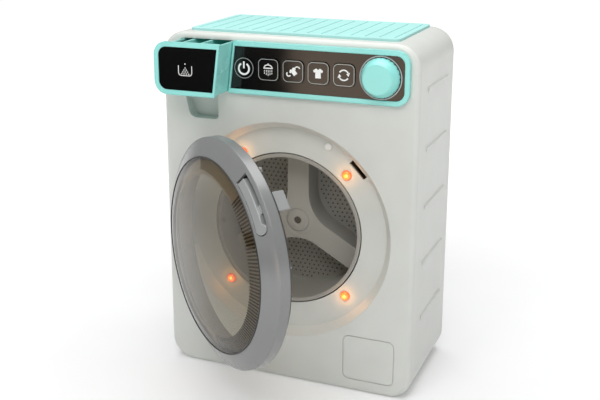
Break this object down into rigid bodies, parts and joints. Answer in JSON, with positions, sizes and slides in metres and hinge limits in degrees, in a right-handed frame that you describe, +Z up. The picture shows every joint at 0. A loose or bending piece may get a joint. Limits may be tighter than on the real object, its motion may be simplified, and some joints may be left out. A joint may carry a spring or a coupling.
{
  "type": "toy washing machine",
  "caption": "Front loading toy washing machine with a hinged round door, turning drum, push buttons, programme dial, detergent drawer and battery drive.",
  "frame": {"origin": "on the floor under the middle of the cabinet", "axes": "+X to the viewer's right, +Y to the back, +Z up"},
  "size_m": [0.2024, 0.2079, 0.2692],
  "materials": {
    "cabinet_shell": "satin moulded",
    "mint": "gloss",
    "teal": "satin",
    "black_gloss": "high gloss",
    "door_grey": "gloss",
    "smoke": "clear smoky",
    "liner_dark": "gloss",
    "drum_grey": "satin",
    "steel": "zinc plated",
    "white": "satin",
    "rubber_white": "matt",
    "amber": "clear lit",
    "board": "lacquered",
    "brass": "polished",
    "black_matt": "matt",
    "cell": "printed sleeve"
  },
  "bodies": {
    "cabinet": {"front_casing": "cabinet_shell", "rear_cover": "cabinet_shell", "top_plate": "mint", "panel_frame": "mint", "panel_fascia": "black_gloss", "dial_ring": "white", "drawer_bay": "teal", "tub": "white", "circuit_board": "board", "board_screws": "steel", "dial_switch": "black_matt", "dome_sheet": "rubber_white", "speaker": "black_matt", "battery_box": "cabinet_shell", "battery_cells": "cell", "battery_contacts": "steel", "battery_cover": "cabinet_shell", "battery_cover_screw": "steel", "motor": "steel", "gearbox_housing": "white", "gearbox_cover": "white", "gear_axles": "steel", "shaft_bushing": "brass", "led_upper_right": "amber", "led_lower_right": "amber", "led_upper_left": "amber", "led_lower_left": "amber", "door_switch_body": "black_matt", "door_switch_dome": "rubber_white", "hinge_bracket": "steel", "hinge_pin": "steel", "casing_screws": "steel", "gearbox_screws": "steel", "tub_screws": "steel"},
    "door": {"door_ring": "door_grey", "door_liner": "liner_dark", "door_window": "smoke", "door_screws": "steel", "lever_pin": "steel", "handle_spring": "steel"},
    "handle": {"door_handle": "door_grey"},
    "drawer": {"detergent_drawer": "mint", "drawer_fascia": "black_gloss"},
    "dial": {"dial_knob": "mint", "dial_shaft": "steel"},
    "drum_unit": {"drum": "drum_grey", "drum_shaft": "steel", "drum_gear": "white", "drum_screw": "steel"},
    "motor_rotor": {"motor_pinion": "white"},
    "first_idler": {"first_gear": "white"},
    "second_idler": {"second_gear": "white"},
    "door_switch": {"door_switch_button": "white"},
    "power_key": {"power_button": "black_gloss"},
    "rinse_key": {"rinse_button": "black_gloss"},
    "wash_key": {"wash_button": "black_gloss"},
    "shirt_key": {"shirt_button": "black_gloss"},
    "cycle_key": {"cycle_button": "black_gloss"}
  },
  "joints": [
    {"name": "door_hinge", "type": "hinge", "parent": "cabinet", "child": "door", "pos_m": [-0.0888, -0.049, 0.1205], "axis": [0, 0, -1], "range_deg": [-37, 63]},
    {"name": "handle_tilt", "type": "hinge", "parent": "door", "child": "handle", "pos_m": [0.02334, -0.13726, 0.17261], "axis": [-0.5447, 0.4104, 0.7314], "range_deg": [0, 2.5], "stiffness_Nm_per_rad": 0.3},
    {"name": "drawer_slide", "type": "slide", "parent": "cabinet", "child": "drawer", "axis": [0, -1, 0], "range_m": [-0.0215, 0.02]},
    {"name": "dial_turn", "type": "hinge", "parent": "cabinet", "child": "dial", "pos_m": [0.0726, -0.05, 0.2436], "axis": [0, 1, 0], "range_deg": [-135, 135]},
    {"name": "power_press", "type": "slide", "parent": "cabinet", "child": "power_key", "axis": [0, 1, 0], "range_m": [0, 0.001], "stiffness_N_per_m": 300},
    {"name": "rinse_press", "type": "slide", "parent": "cabinet", "child": "rinse_key", "axis": [0, 1, 0], "range_m": [0, 0.001], "stiffness_N_per_m": 300},
    {"name": "wash_press", "type": "slide", "parent": "cabinet", "child": "wash_key", "axis": [0, 1, 0], "range_m": [0, 0.001], "stiffness_N_per_m": 300},
    {"name": "shirt_press", "type": "slide", "parent": "cabinet", "child": "shirt_key", "axis": [0, 1, 0], "range_m": [0, 0.001], "stiffness_N_per_m": 300},
    {"name": "cycle_press", "type": "slide", "parent": "cabinet", "child": "cycle_key", "axis": [0, 1, 0], "range_m": [0, 0.001], "stiffness_N_per_m": 300},
    {"name": "switch_press", "type": "slide", "parent": "cabinet", "child": "door_switch", "axis": [0, 1, 0], "range_m": [0, 0.001], "stiffness_N_per_m": 150},
    {"name": "drum_spin", "type": "hinge", "parent": "cabinet", "child": "drum_unit", "pos_m": [-0.002, 0, 0.1205], "axis": [0, -1, 0], "continuous": true},
    {"name": "second_spin", "type": "hinge", "parent": "cabinet", "child": "second_idler", "pos_m": [-0.014, 0.019, 0.14128], "axis": [0, -1, 0], "continuous": true},
    {"name": "first_spin", "type": "hinge", "parent": "cabinet", "child": "first_idler", "pos_m": [-0.0044, 0.014, 0.15791], "axis": [0, -1, 0], "continuous": true},
    {"name": "motor_spin", "type": "hinge", "parent": "cabinet", "child": "motor_rotor", "pos_m": [0.0148, 0.014, 0.15791], "axis": [0, -1, 0], "continuous": true}
  ],
  "couplings": [
    {"joint": "second_spin", "follows": "drum_spin", "ratio": -4},
    {"joint": "first_spin", "follows": "drum_spin", "ratio": 12},
    {"joint": "motor_spin", "follows": "drum_spin", "ratio": -36}
  ]
}
